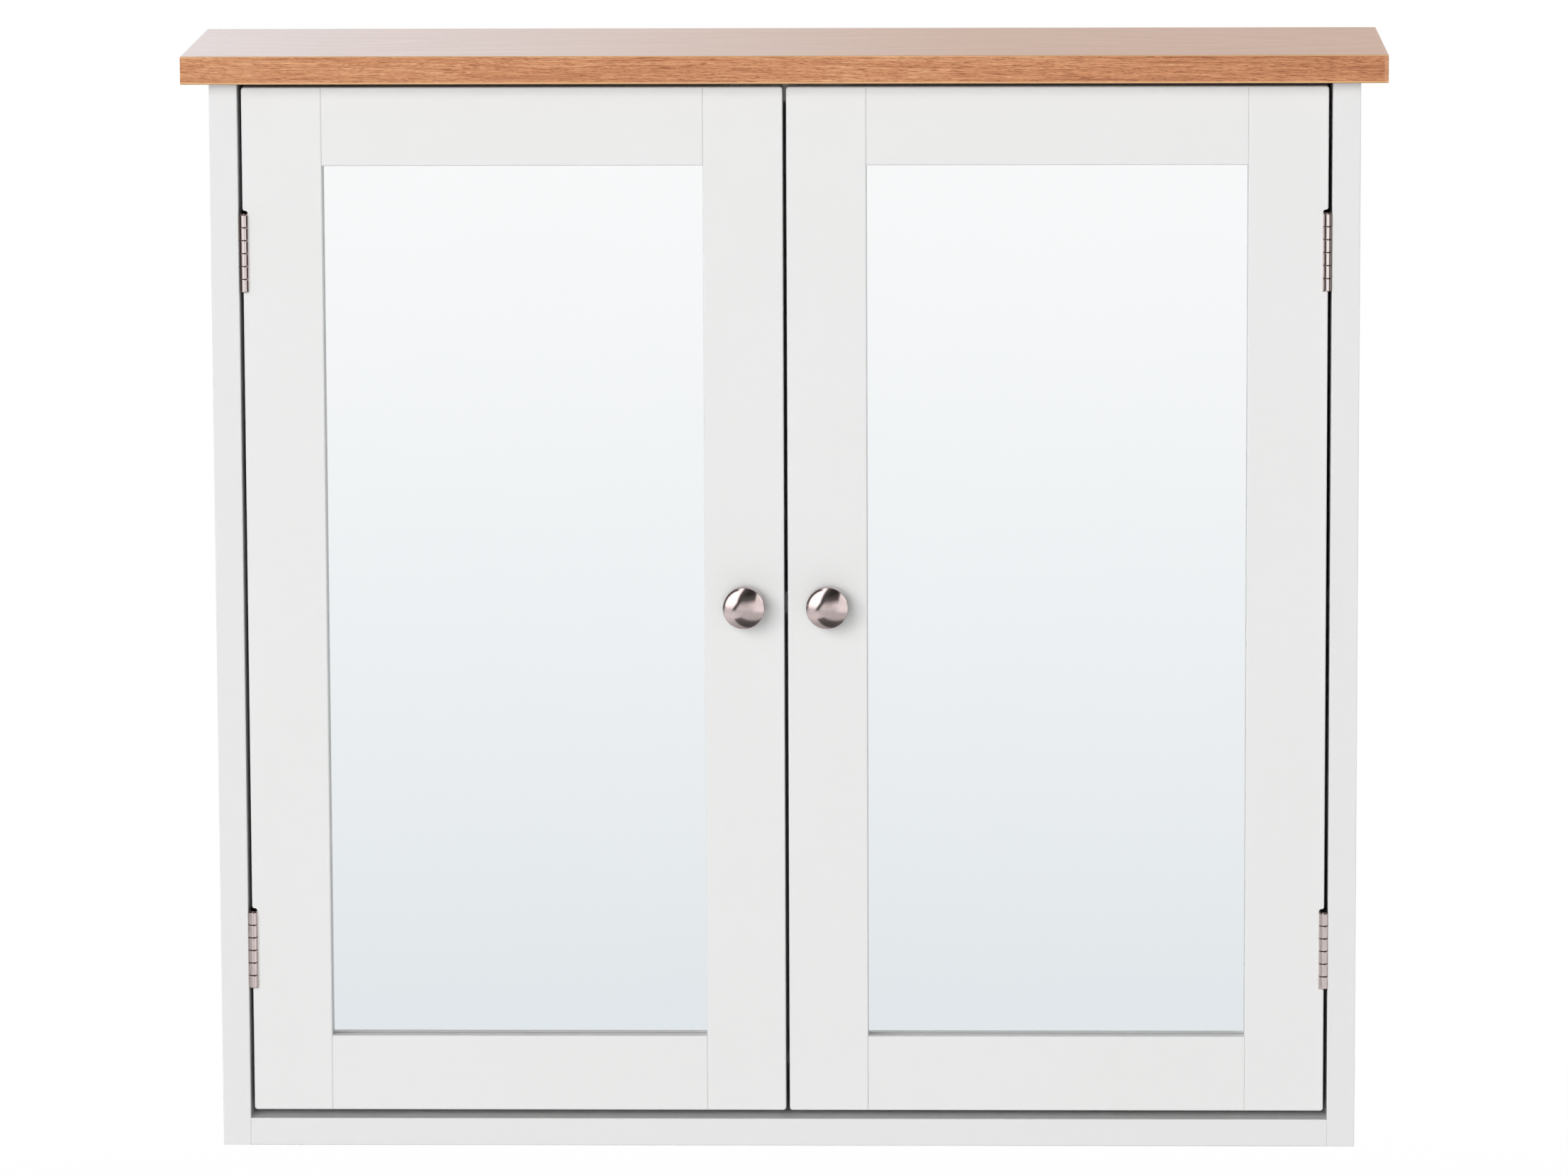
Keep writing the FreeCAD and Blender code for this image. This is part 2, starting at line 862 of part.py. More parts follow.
def catch_housing():
    """Plastic body with a pocket for each magnet and a slotted ear at each end."""
    depth = (catch_front, catch_back)
    body = block((-catch_half, catch_half), depth, (catch_under, top_under))
    ears = block(
        (-catch_half - catch_ear, catch_half + catch_ear),
        depth,
        (top_under - catch_ear_thickness, top_under),
    )
    cuts = []
    for side in (-1, 1):
        middle = side * catch_x
        cuts.append(
            block(
                (middle - catch_pocket_width / 2, middle + catch_pocket_width / 2),
                (catch_front - through, catch_back - catch_wall),
                (pocket_under, pocket_under + catch_pocket_height),
            )
        )
        cuts.append(catch_slot(side))
    return drilled(body.fuse(ears), cuts)


def catch_slot(side):
    """Slot that lets the catch be set forward or back before its screw is tightened."""
    x = catch_ear_middle(side)
    radius = catch_screw_radius + seat_gap
    low = top_under - catch_ear_thickness - through
    height = catch_ear_thickness + 2 * through
    ends = [catch_middle_y() + way * catch_slot_travel / 2 for way in (-1, 1)]
    slot = block((x - radius, x + radius), tuple(ends), (low, low + height))
    for y in ends:
        slot = slot.fuse(rod((x, y, low), (0, 0, 1), radius, height))
    return slot.removeSplitter()


def catch_screw(side, gap=0.0):
    """Pan head screw up through an ear into the top board."""
    points = [
        (0, -catch_screw_head_height),
        (catch_screw_head_radius, -catch_screw_head_height),
        (catch_screw_head_radius, 0),
        (catch_screw_radius + gap, 0),
        (catch_screw_radius + gap, catch_screw_length - screw_tip),
        (0, catch_screw_length + gap),
    ]
    start = (catch_ear_middle(side), catch_middle_y(), top_under - catch_ear_thickness)
    return turned(profile(points), start, (0, 0, 1))


def catch_screw_hole(side):
    return catch_screw(side, running_gap)


def pole_plates():
    """Steel plates on both sides of each magnet, proud of the housing."""
    plates = []
    for side in (-1, 1):
        for way in (-1, 1):
            outer = side * catch_x + way * (catch_pocket_width / 2 - seat_gap)
            inner = outer - way * pole_thickness
            plates.append(
                block(
                    (min(outer, inner), max(outer, inner)),
                    (pole_front, catch_back - catch_wall - seat_gap),
                    (pocket_under + seat_gap, pocket_under + catch_pocket_height - seat_gap),
                )
            )
    return group(plates)


def magnets():
    half = catch_pocket_width / 2 - 2 * seat_gap - pole_thickness
    return group(
        block(
            (side * catch_x - half, side * catch_x + half),
            (catch_front, catch_back - catch_wall - seat_gap),
            (pocket_under + seat_gap, pocket_under + catch_pocket_height - seat_gap),
        )
        for side in (-1, 1)
    )


def strike_screw_shape(gap=0.0):
    start = (-catch_x, strike_back, strike_top - strike_height / 2)
    return countersunk_screw(
        start, (0, -1, 0), strike_screw_radius + gap, strike_thickness, strike_screw_length + gap
    )


def strike_plate():
    plate = block(
        (-catch_x - strike_width / 2, -catch_x + strike_width / 2),
        (door_back, strike_back),
        (strike_top - strike_height, strike_top),
    )
    return drilled(plate, [strike_screw_shape(running_gap)])


# Nodes

def carcass_nodes():
    nodes = {
        "top_board": top_core(),
        "top_front_edging": top_front_edging(),
        "top_left_edging": top_left_edging(),
        "top_right_edging": top_right_edging(),
        "bottom_board": bottom_board(),
        "back_panel": back_panel(),
        "hanging_rail": hanging_rail(),
        "shelf": shelf(),
        "shelf_pins": group(both_sides([shelf_pin(y) for y in pin_columns()])),
        "cam_locks": group(both_sides([cam_lock(joint) for joint in cam_joints])),
        "cam_bolts": group(both_sides([cam_bolt(joint) for joint in cam_joints])),
        "carcass_dowels": group(both_sides([joint_dowel(joint) for joint in dowel_joints])),
        "back_panel_nails": group(nail(place) for place in nail_places()),
        "catch_housing": catch_housing(),
        "catch_magnets": magnets(),
        "catch_pole_plates": pole_plates(),
        "catch_screws": group(catch_screw(side) for side in (-1, 1)),
    }
    side = left_side_panel()
    screws = [place for bottom in hinge_bottoms.values() for place in frame_leaf_screws(bottom)]
    frame_screws = hinge_screws(screws)
    nodes["left_side_panel"] = side
    nodes["right_side_panel"] = mirrored(side)
    nodes["frame_hinge_screws"] = group([frame_screws, mirrored(frame_screws)])
    for place, bottom in hinge_bottoms.items():
        frame_leaf = leaf(bottom, -1, 0)
        pin = hinge_pin(bottom)
        nodes[f"left_{place}_frame_leaf"] = frame_leaf
        nodes[f"right_{place}_frame_leaf"] = mirrored(frame_leaf)
        nodes[f"left_{place}_hinge_pin"] = pin
        nodes[f"right_{place}_hinge_pin"] = mirrored(pin)
    return nodes


def door_pieces():
    """The left door's pieces, by their names without the side."""
    screws = [place for bottom in hinge_bottoms.values() for place in door_leaf_screws(bottom)]
    pieces = {
        "hinge_stile": hinge_stile(),
        "meeting_stile": meeting_stile(),
        "top_rail": rail((opening_z[1], door_top), door_top),
        "bottom_rail": rail((door_bottom, opening_z[0]), door_bottom),
        "mirror": pane((glass_front, glass_back)),
        "mirror_backing": pane((glass_back, backing_back)),
        "mirror_beads": glazing_beads(),
        "frame_dowels": group(
            bevelled_rod(start, (1, 0, 0), frame_dowel_radius, frame_dowel_length, dowel_chamfer)
            for start in frame_dowel_starts()
        ),
        "knob": knob(),
        "knob_screw": knob_screw(),
        "door_hinge_screws": hinge_screws(screws),
        "strike_plate": strike_plate(),
        "strike_screw": strike_screw_shape(),
    }
    for place, bottom in hinge_bottoms.items():
        pieces[f"{place}_door_leaf"] = leaf(bottom, 1, 1)
    return pieces


def main():
    nodes = carcass_nodes()
    for name, piece in door_pieces().items():
        nodes[f"left_{name}"] = piece
        nodes[f"right_{name}"] = mirrored(piece)
    os.makedirs("parts", exist_ok=True)
    for name, shape in nodes.items():
        shape.exportStep(f"parts/{name}.step")
    print(len(nodes), "nodes")


main()
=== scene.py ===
import json
import math

import bpy
from mathutils import Matrix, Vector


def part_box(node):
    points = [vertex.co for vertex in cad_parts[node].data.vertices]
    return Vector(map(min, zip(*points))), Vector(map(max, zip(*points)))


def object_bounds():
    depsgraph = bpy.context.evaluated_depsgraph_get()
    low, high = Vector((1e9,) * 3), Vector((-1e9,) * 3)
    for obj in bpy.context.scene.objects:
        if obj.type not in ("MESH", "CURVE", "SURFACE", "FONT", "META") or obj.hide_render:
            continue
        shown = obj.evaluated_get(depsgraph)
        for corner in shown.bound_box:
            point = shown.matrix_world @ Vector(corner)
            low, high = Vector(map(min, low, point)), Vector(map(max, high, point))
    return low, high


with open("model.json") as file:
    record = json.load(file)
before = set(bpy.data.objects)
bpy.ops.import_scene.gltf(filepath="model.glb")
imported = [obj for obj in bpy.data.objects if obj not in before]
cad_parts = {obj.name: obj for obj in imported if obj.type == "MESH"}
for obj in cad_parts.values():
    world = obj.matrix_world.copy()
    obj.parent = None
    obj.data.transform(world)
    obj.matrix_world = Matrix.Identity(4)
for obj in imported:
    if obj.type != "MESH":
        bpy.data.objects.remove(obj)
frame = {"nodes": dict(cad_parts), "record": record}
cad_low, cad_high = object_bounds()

# Looks of a two-door mirror cabinet: white painted boards, a wood-effect top, nickel fittings.
# Lengths are in metres, except that grain and texture sizes are in millimetres.

MM = 0.001
TOP_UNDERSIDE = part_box("top_board")[0].z
PIN_LOW, PIN_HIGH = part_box("right_upper_hinge_pin")
CARCASS_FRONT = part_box("left_side_panel")[0].y

# Camera, as the photograph was taken: a long lens, a little to the right and above
CAMERA_PLACE = (0.1053, -4.350, 0.4447)
CAMERA_YAW = math.radians(-1.445)
CAMERA_PITCH = math.radians(9.033)
CAMERA_ROLL = math.radians(-0.226)
CAMERA_LENS = 195.0
CAMERA_SENSOR = 36.0

# Stage: the cabinet hangs above a plain pale floor
HANGING_HEIGHT = 1.3
FLOOR_HALF = 60.0
FLOOR_ALBEDO = 0.60
FLOOR_GLOW = 0.70
FLOOR_NEAR = 2.5
FLOOR_FAR = 6.5

# A dark mat on the floor in front, which only reflections show: its edges fade over these lengths
MAT_CORNER = (-0.71, -2.17)
MAT_TURN = math.radians(37.5)
MAT_WIDTH = 1.2
MAT_END_FADE = 0.4
MAT_NEAR_FADE = (-0.35, 0.25)
MAT_FAR_FADE = 0.2

# Soft light: four softboxes, in a room that is brightest behind the cabinet
KEY_PLACE = (-4.3, -10.8, 3.1)
KEY_SIZE = 5.5
KEY_POWER = 635.0
FRONT_PLACE = (-0.3, -8.0, 0.8)
FRONT_SIZE = 3.2
FRONT_POWER = 214.0
LEFT_PLACE = (-6.5, 1.6, 0.1)
LEFT_POWER = 60.0
RIGHT_PLACE = (6.5, 1.6, 0.1)
RIGHT_POWER = 125.0
SIDE_SIZE = 4.0
ROOM_LEFT = 0.15
ROOM_RIGHT = 0.35
ROOM_BACK = 1.80
ROOM_ZENITH = 0.15

# What reflections show, seen from the knobs: a bank of light left of a plane, and tones round it
LOOKOUT = (0.0, -0.15, -0.23)
BANK_PLANE = (-0.85, 0.508, 0.144)
BANK_LIGHT = 2.2
SEAM_LIGHT = 0.10
CORNER_LIGHT = 0.03
STRIP_LIGHT = 2.2
WALL_LEFT = 0.90
WALL_RIGHT = 1.30
CEILING_LOW = 0.22
CEILING_HIGH = 0.05
CEILING_TILT = 0.05
FLOOR_LEFT = 1.05
FLOOR_MIDDLE = 0.76
FLOOR_RIGHT = 1.35
FLOOR_UNDERFOOT = 0.58
MAT_FAR = 0.22
MAT_UNDERFOOT = 0.11
BEHIND_LEFT = (1.11, 1.12, 1.21, 1)
BEHIND_RIGHT = (0.80, 0.65, 0.60, 1)


def srgb(red, green, blue):
    """Linear colour from the 0 to 255 values of a picture."""
    def linear(value):
        share = value / 255
        return share / 12.92 if share <= 0.04045 else ((share + 0.055) / 1.055) ** 2.4
    return (linear(red), linear(green), linear(blue), 1.0)


def grey(level):
    return (level, level, level, 1.0)


class Graph:
    """A node tree under construction: nodes are added and wired by short calls."""

    def __init__(self, tree):
        self.tree = tree

    def add(self, kind, inputs=None, **settings):
        node = self.tree.nodes.new(kind)
        for name, value in settings.items():
            setattr(node, name, value)
        for socket, value in (inputs or {}).items():
            self.feed(node.inputs[socket], value)
        return node

    def feed(self, socket, value):
        if isinstance(value, bpy.types.NodeSocket):
            self.tree.links.new(value, socket)
        else:
            socket.default_value = value

    def math(self, operation, a, b=0.0):
        return self.add("ShaderNodeMath", {0: a, 1: b}, operation=operation).outputs[0]

    def span(self, value, low, high, to_low=0.0, to_high=1.0, smooth=False):
        """Value between low and high turned into one between to_low and to_high, and held there."""
        inputs = {
            "Value": value,
            "From Min": low,
            "From Max": high,
            "To Min": to_low,
            "To Max": to_high,
        }
        kind = "SMOOTHSTEP" if smooth else "LINEAR"
        return self.add("ShaderNodeMapRange", inputs, interpolation_type=kind).outputs["Result"]

    def mix(self, factor, a, b):
        node = self.add("ShaderNodeMix", data_type="RGBA")
        self.feed(node.inputs["Factor"], factor)
        self.feed(node.inputs["A"], a)
        self.feed(node.inputs["B"], b)
        return node.outputs["Result"]

    def product(self, *factors):
        total = factors[0]
        for factor in factors[1:]:
            total = self.math("MULTIPLY", total, factor)
        return total

    def vector(self, operation, a, b=(0, 0, 0)):
        return self.add("ShaderNodeVectorMath", {0: a, 1: b}, operation=operation).outputs["Vector"]

    def dot(self, a, b):
        return self.add("ShaderNodeVectorMath", {0: a, 1: b}, operation="DOT_PRODUCT").outputs["Value"]

    def parts(self, vector):
        return self.add("ShaderNodeSeparateXYZ", {0: vector}).outputs


class Finish(Graph):
    """A procedural material; places are the piece's own, in the cabinet's frame."""

    def __init__(self, name):
        self.material = bpy.data.materials.new(name)
        self.material.use_nodes = True
        super().__init__(self.material.node_tree)
        self.shader = self.tree.nodes["Principled BSDF"]
        coordinates = self.add("ShaderNodeTexCoord")
        self.place = coordinates.outputs["Object"]
        self.normal = coordinates.outputs["Normal"]

    def set(self, **values):
        """Feeds the shader's sockets: base_color is Base Color, and so on."""
        for name, value in values.items():
            self.feed(self.shader.inputs[name.replace("_", " ").title()], value)

    def source(self, name):
        """What feeds one of the shader's sockets."""
        return self.shader.inputs[name].links[0].from_socket

    def stretched(self, x, y, z):
        """The place counted in cells of the given size in millimetres."""
        return self.vector("MULTIPLY", self.place, (1 / (x * MM), 1 / (y * MM), 1 / (z * MM)))

    def noise(self, vector, detail=2.0, roughness=0.5, distortion=0.0):
        inputs = {
            "Vector": vector,
            "Scale": 1.0,
            "Detail": detail,
            "Roughness": roughness,
            "Distortion": distortion,
        }
        return self.add("ShaderNodeTexNoise", inputs).outputs["Fac"]

    def bump(self, height, strength, depth):
        """Normal tilted by a height map whose full step is depth millimetres."""
        inputs = {"Height": height, "Strength": strength, "Distance": depth * MM}
        self.feed(self.shader.inputs["Normal"], self.add("ShaderNodeBump", inputs).outputs[0])


# Finishes

# The carcass's front edges: how deep their grey goes, and where it has faded out
BANDING_DEPTH = 0.5 * MM
BANDING_END = 1.0 * MM

# Grain of the wood-effect foil: lengths and widths in millimetres, with the weight of each streak
STREAKS = ((2.5, 0.42, 0.40), (10, 0.45, 0.50), (45, 0.60, 0.72), (500, 2.6, 0.46))
DASHES = ((8, 0.34), (4, 0.24))
DASH_DEPTH = 0.42
DASH_START = 0.61
DASH_FULL = 0.66
RINGS = (420, 34)
RING_TURNS = 70
SWAYS = (120, 30)
SWAY_WIDTH = 4 * MM
GRAIN_SLOPE = 0.012
# Level of the wood's tone at the left and right ends: the drop from left to right is a painted light
# falloff
PAINTED_LIGHT_LEVEL_LEFT = 0.61
PAINTED_LIGHT_LEVEL_RIGHT = 0.40

# Painted highlights along the top board's arrises: how far from its faces they start, and where they
# are full
UPPER_ARRIS_START = 0.6 * MM
UPPER_ARRIS_FULL = 0.3 * MM
LOWER_ARRIS_START = 1.2 * MM
LOWER_ARRIS_FULL = 0.8 * MM
ARRIS_HIGHLIGHT_SHARE = 0.7

# Painted reflections on the hinge barrels, in bands: each from and to, by how far right the barrel
# faces, and its tone
PAINTED_BRIGHT = (0.92, 0.84, 0.82, 1)
PAINTED_DUSK = (0.17, 0.145, 0.13, 1)
PAINTED_DARK = (0.03, 0.016, 0.014, 1)
LEFT_REFLECTION_BANDS = ((-1, -0.72, PAINTED_DUSK), (-0.66, -0.38, PAINTED_DARK), (-0.22, 0.18, PAINTED_BRIGHT), (0.74, 1, PAINTED_DARK))
RIGHT_REFLECTION_BANDS = ((-0.64, -0.42, PAINTED_DARK), (-0.28, 0.20, PAINTED_BRIGHT), (0.38, 0.52, PAINTED_DARK), (0.60, 1, PAINTED_DUSK))
BAND_BLUR = 0.08
BARREL_FADE = 1.0 * MM

# The painted reflection bands are faint up to one height and strong from another
FAINT_HEIGHT = -0.30
STRONG_HEIGHT = -0.12
FAINT_SHARE = 0.25

# Painted shade on the sides of the hinge pins: how far past the pin's radius the shade is full, and
# where it ends
PIN_SHADE_FULL = 0.2 * MM
PIN_SHADE_END = 0.4 * MM


def white_paint():
    """Sprayed satin lacquer: faint orange peel and drift, greyer on the carcass's front edges."""
    finish = Finish("white_paint")
    drift = finish.noise(finish.stretched(120, 120, 120), detail=3)
    sheen = finish.noise(finish.stretched(18, 18, 18))
    peel = finish.noise(finish.stretched(1.4, 1.4, 1.4))
    tone = finish.mix(drift, srgb(232, 232, 231), srgb(235, 235, 235))
    depth = finish.parts(finish.place)["Y"]
    banding = finish.span(depth, CARCASS_FRONT + BANDING_DEPTH, CARCASS_FRONT + BANDING_END, 1, 0)
    finish.set(
        base_color=finish.mix(banding, tone, srgb(231, 231, 231)),
        roughness=finish.span(sheen, 0.3, 0.7, 0.36, 0.46),
    )
    finish.bump(peel, 0.12, 0.05)
    return finish.material


def wood_grain(finish, axis, paler, figure):
    """How pale the grain is, from 0 to 1: streaks, dashes and rings that sway slowly off the axis, on a
    level with a painted light falloff, paler at the left end than at the right.
    """
    def cells(length, width):
        return finish.stretched(*(length if way == axis else width for way in "XYZ"))

    def streaks(length, width, weight):
        """Grain of one size, as a change of level on both sides of nothing."""
        return finish.span(finish.noise(cells(length, width), detail=1), 0, 1, -weight / 2, weight / 2)

    place = finish.parts(finish.place)
    # Painted light falloff: the level drops from the left end to the right
    level = finish.span(place["X"], cad_low.x, cad_high.x, PAINTED_LIGHT_LEVEL_LEFT + paler, PAINTED_LIGHT_LEVEL_RIGHT + paler)
    slope = finish.math("MULTIPLY", place[axis], GRAIN_SLOPE)
    sway = finish.math("MULTIPLY", finish.noise(cells(*SWAYS), detail=1), SWAY_WIDTH)
    finish.place = finish.vector("ADD", finish.place, finish.math("ADD", slope, sway))
    for length, width, weight in STREAKS:
        level = finish.math("ADD", level, streaks(length, width, weight))
    for length, width in DASHES:
        pattern = finish.noise(cells(length, width), detail=1)
        dashes = finish.span(pattern, DASH_START, DASH_FULL, 0, DASH_DEPTH)
        level = finish.math("SUBTRACT", level, dashes)
    turns = finish.math("MULTIPLY", finish.noise(cells(*RINGS), detail=0), RING_TURNS)
    return finish.math("ADD", level, finish.math("MULTIPLY", finish.math("SINE", turns), figure))


def arris_highlights(finish, height):
    """How much of the painted arris highlight shows at a height: most along the top board's two faces.
    """
    upper_start = cad_high.z - UPPER_ARRIS_START
    upper_full = cad_high.z - UPPER_ARRIS_FULL
    lower_start = TOP_UNDERSIDE + LOWER_ARRIS_START
    lower_full = TOP_UNDERSIDE + LOWER_ARRIS_FULL
    upper = finish.span(height, upper_start, upper_full, 0, ARRIS_HIGHLIGHT_SHARE)
    lower = finish.span(height, lower_start, lower_full, 0, ARRIS_HIGHLIGHT_SHARE)
    return finish.math("MAXIMUM", upper, lower)


def chipboard_tone(finish):
    """Bare edge of the board: brown and pale chips."""
    chips = finish.noise(finish.stretched(2.6, 2.6, 0.9), detail=3, roughness=0.65)
    return finish.mix(finish.span(chips, 0.35, 0.65), srgb(150, 112, 76), srgb(214, 184, 142))


def wood(name, axis, coat, paler=0.0, figure=0.0):
    """Wood-effect foil with painted highlights on its arrises, painted shade on its greyer underside
    and bare chipboard at the rear.
    """
    finish = Finish(name)
    height = finish.parts(finish.place)["Z"]
    facing = finish.parts(finish.normal)
    level = wood_grain(finish, axis, paler, figure)
    tone = finish.mix(finish.span(level, 0.0, 0.5), srgb(146, 83, 47), srgb(200, 136, 92))
    tone = finish.mix(finish.span(level, 0.5, 1.0), tone, srgb(238, 190, 142))
    # Painted highlight along the arrises
    tone = finish.mix(arris_highlights(finish, height), tone, srgb(234, 186, 130))
    # Painted shade: faces turned downwards are darker and greyer
    tone = finish.mix(finish.span(facing["Z"], -0.3, -0.6), tone, srgb(150, 124, 106))
    tone = finish.mix(finish.span(facing["Y"], 0.6, 0.8), tone, chipboard_tone(finish))
    finish.set(base_color=tone, roughness=finish.span(level, 0.2, 0.8, 0.36, 0.28))
    finish.set(coat_weight=coat, coat_roughness=0.16)
    finish.bump(level, 0.2, 0.04)
    return finish.material


def mirror_silver():
    """First-surface silver with a cool cast and the faintest film on the glass."""
    finish = Finish("mirror")
    film = finish.noise(finish.stretched(70, 70, 70), detail=4, roughness=0.6, distortion=0.8)
    finish.set(
        base_color=finish.mix(film, (0.930, 0.945, 0.950, 1), (0.945, 0.955, 0.960, 1)),
        metallic=1.0,
        roughness=finish.span(film, 0.55, 0.8, 0.004, 0.02),
    )
    return finish.material


def hardboard_tone(finish):
    """Brown pressed fibre."""
    fleck = finish.noise(finish.stretched(2.2, 2.2, 2.2), detail=4, roughness=0.7)
    clouds = finish.noise(finish.stretched(45, 45, 45), detail=3)
    tone = finish.mix(finish.span(fleck, 0.3, 0.7), srgb(104, 72, 48), srgb(148, 110, 78))
    return finish.mix(finish.span(clouds, 0.35, 0.65, 0, 0.35), tone, srgb(126, 90, 62)), fleck


def hardboard():
    finish = Finish("hardboard")
    tone, fleck = hardboard_tone(finish)
    finish.set(base_color=tone, roughness=0.62)
    finish.bump(fleck, 0.3, 0.08)
    return finish.material


def white_board():
    """Back panel: white lacquer towards the room, bare fibre towards the wall."""
    finish = Finish("white_board")
    tone, fleck = hardboard_tone(finish)
    rear = finish.math("GREATER_THAN", finish.parts(finish.normal)["Y"], 0.5)
    drift = finish.noise(finish.stretched(90, 90, 90), detail=3)
    white = finish.mix(drift, srgb(230, 230, 228), srgb(235, 235, 234))
    finish.set(
        base_color=finish.mix(rear, white, tone),
        roughness=finish.span(rear, 0, 1, 0.42, 0.68),
    )
    finish.bump(fleck, 0.2, 0.06)
    return finish.material


def beech():
    finish = Finish("beech")
    rays = finish.noise(finish.stretched(0.5, 0.5, 3.0), detail=2)
    tone = finish.mix(finish.span(rays, 0.35, 0.7), srgb(222, 186, 146), srgb(190, 148, 108))
    finish.set(base_color=tone, roughness=0.6)
    finish.bump(rays, 0.2, 0.1)
    return finish.material


def metal(name, dark, light, roughness, cells):
    """Plated metal with fine brushing and slightly uneven tone."""
    finish = Finish(name)
    lines = finish.noise(finish.stretched(*cells), detail=3, roughness=0.65)
    clouds = finish.noise(finish.stretched(6, 6, 6), detail=2)
    finish.set(
        base_color=finish.mix(finish.span(clouds, 0.3, 0.7), dark, light),
        metallic=1.0,
        roughness=finish.span(lines, 0.3, 0.7, roughness * 0.8, roughness * 1.25),
    )
    finish.bump(lines, 0.15, 0.01)
    return finish


def knob_nickel():
    """Polished nickel, with a painted dark reflection round the rim."""
    finish = metal(
        "nickel",
        dark=(0.545, 0.452, 0.440, 1),
        light=(0.605, 0.505, 0.493, 1),
        roughness=0.12,
        cells=(0.6, 0.6, 0.6),
    )
    # Painted reflection: the rim, where the knob faces sideways, is darkened as the shade beside it
    # would show
    painted_rim_reflection = finish.span(finish.parts(finish.normal)["Y"], -0.72, -0.50, 0, 0.9)
    finish.set(base_color=finish.mix(painted_rim_reflection, finish.source("Base Color"), (0.30, 0.245, 0.235, 1)))
    return finish.material


def painted_reflections(finish, plain, reflection_bands):
    """Plain metal with painted reflection tones where the barrel faces a given way: -1 is left and 1 is
    right.
    """
    across = finish.parts(finish.normal)["X"]
    tone = plain
    for low, high, colour in reflection_bands:
        band = finish.product(
            finish.span(across, low - BAND_BLUR, low),
            finish.span(across, high + BAND_BLUR, high),
        )
        tone = finish.mix(band, tone, colour)
    return tone


def shaded_pin_sides(finish):
    """1 on the round sides of the hinge pins, where painted shade goes, and 0 elsewhere."""
    x, y, _ = finish.parts(finish.place)
    pin = (PIN_LOW + PIN_HIGH) / 2
    radius = (PIN_HIGH.x - PIN_LOW.x) / 2
    aside = finish.math("SUBTRACT", finish.math("ABSOLUTE", x), pin.x)
    inside = finish.math("SUBTRACT", y, pin.y)
    squares = finish.math("ADD", finish.product(aside, aside), finish.product(inside, inside))
    off_axis = finish.math("SQRT", squares)
    upright = finish.math("ABSOLUTE", finish.parts(finish.normal)["Z"])
    return finish.product(
        finish.span(off_axis, radius + PIN_SHADE_END, radius + PIN_SHADE_FULL),
        finish.span(upright, 0.6, 0.4),
    )


def hinge_nickel():
    """Plain leaves, barrels with painted reflection bands that are faint on the lower hinges, and
    painted shade on the pin sides.
    """
    finish = metal(
        "hinge_nickel",
        dark=(0.56, 0.47, 0.45, 1),
        light=(0.63, 0.53, 0.51, 1),
        roughness=0.22,
        cells=(0.15, 0.15, 2),
    )
    plain = finish.source("Base Color")
    x, y, z = finish.parts(finish.place)
    right = finish.math("GREATER_THAN", x, 0.0)
    reflection_bands = finish.mix(right, painted_reflections(finish, plain, LEFT_REFLECTION_BANDS), painted_reflections(finish, plain, RIGHT_REFLECTION_BANDS))
    shown = finish.product(
        finish.span(z, FAINT_HEIGHT, STRONG_HEIGHT, FAINT_SHARE, 1.0),
        finish.span(finish.parts(finish.normal)["Y"], 0.0, -0.15),
        finish.span(y, PIN_HIGH.y, PIN_HIGH.y + BARREL_FADE, 1, 0),
    )
    # Painted reflections on the barrels
    tone = finish.mix(shown, plain, reflection_bands)
    # Painted shade on the pin sides, between the knuckles
    finish.set(base_color=finish.mix(shaded_pin_sides(finish), tone, PAINTED_DARK))
    return finish.material


def zinc_steel():
    finish = metal(
        "zinc_steel",
        dark=(0.56, 0.57, 0.58, 1),
        light=(0.66, 0.67, 0.68, 1),
        roughness=0.30,
        cells=(0.8, 0.8, 0.8),
    )
    return finish.material


def white_plastic():
    finish = Finish("white_plastic")
    spark = finish.noise(finish.stretched(0.5, 0.5, 0.5), detail=2)
    tone = finish.noise(finish.stretched(20, 20, 20))
    finish.set(base_color=finish.mix(tone, srgb(226, 226, 222), srgb(234, 234, 231)), roughness=0.42)
    finish.bump(spark, 0.15, 0.04)
    return finish.material


def ferrite():
    finish = Finish("ferrite")
    grain = finish.noise(finish.stretched(0.8, 0.8, 0.8), detail=3)
    finish.set(base_color=finish.mix(grain, srgb(44, 43, 44), srgb(66, 64, 63)), roughness=0.55)
    finish.bump(grain, 0.2, 0.05)
    return finish.material


finishes = {
    "white_paint": white_paint(),
    "wood_top": wood("wood_top", "X", coat=0.7, figure=0.12),
    "wood_edging": wood("wood_edging", "X", coat=0.0),
    "wood_ends": wood("wood_ends", "Y", coat=0.7, paler=0.12),
    "white_board": white_board(),
    "hardboard": hardboard(),
    "beech": beech(),
    "mirror": mirror_silver(),
    "nickel": knob_nickel(),
    "hinge_nickel": hinge_nickel(),
    "zinc_steel": zinc_steel(),
    "white_plastic": white_plastic(),
    "ferrite": ferrite(),
}


def dress_nodes():
    """Gives every node the finish of its slot in the record."""
    for subpart in frame["record"]["subparts"]:
        node = frame["nodes"][subpart["node"]]
        node.data.materials.clear()
        node.data.materials.append(finishes[subpart["material_slot"]])


# Stage, light and camera

def seen_rays(graph):
    """1 for camera, glass and glossy rays, which see the backdrop, and 1 for glossy rays alone."""
    path = graph.add("ShaderNodeLightPath").outputs
    shown = graph.math("MAXIMUM", path["Is Camera Ray"], path["Is Transmission Ray"])
    return graph.math("MAXIMUM", shown, path["Is Glossy Ray"]), path["Is Glossy Ray"]


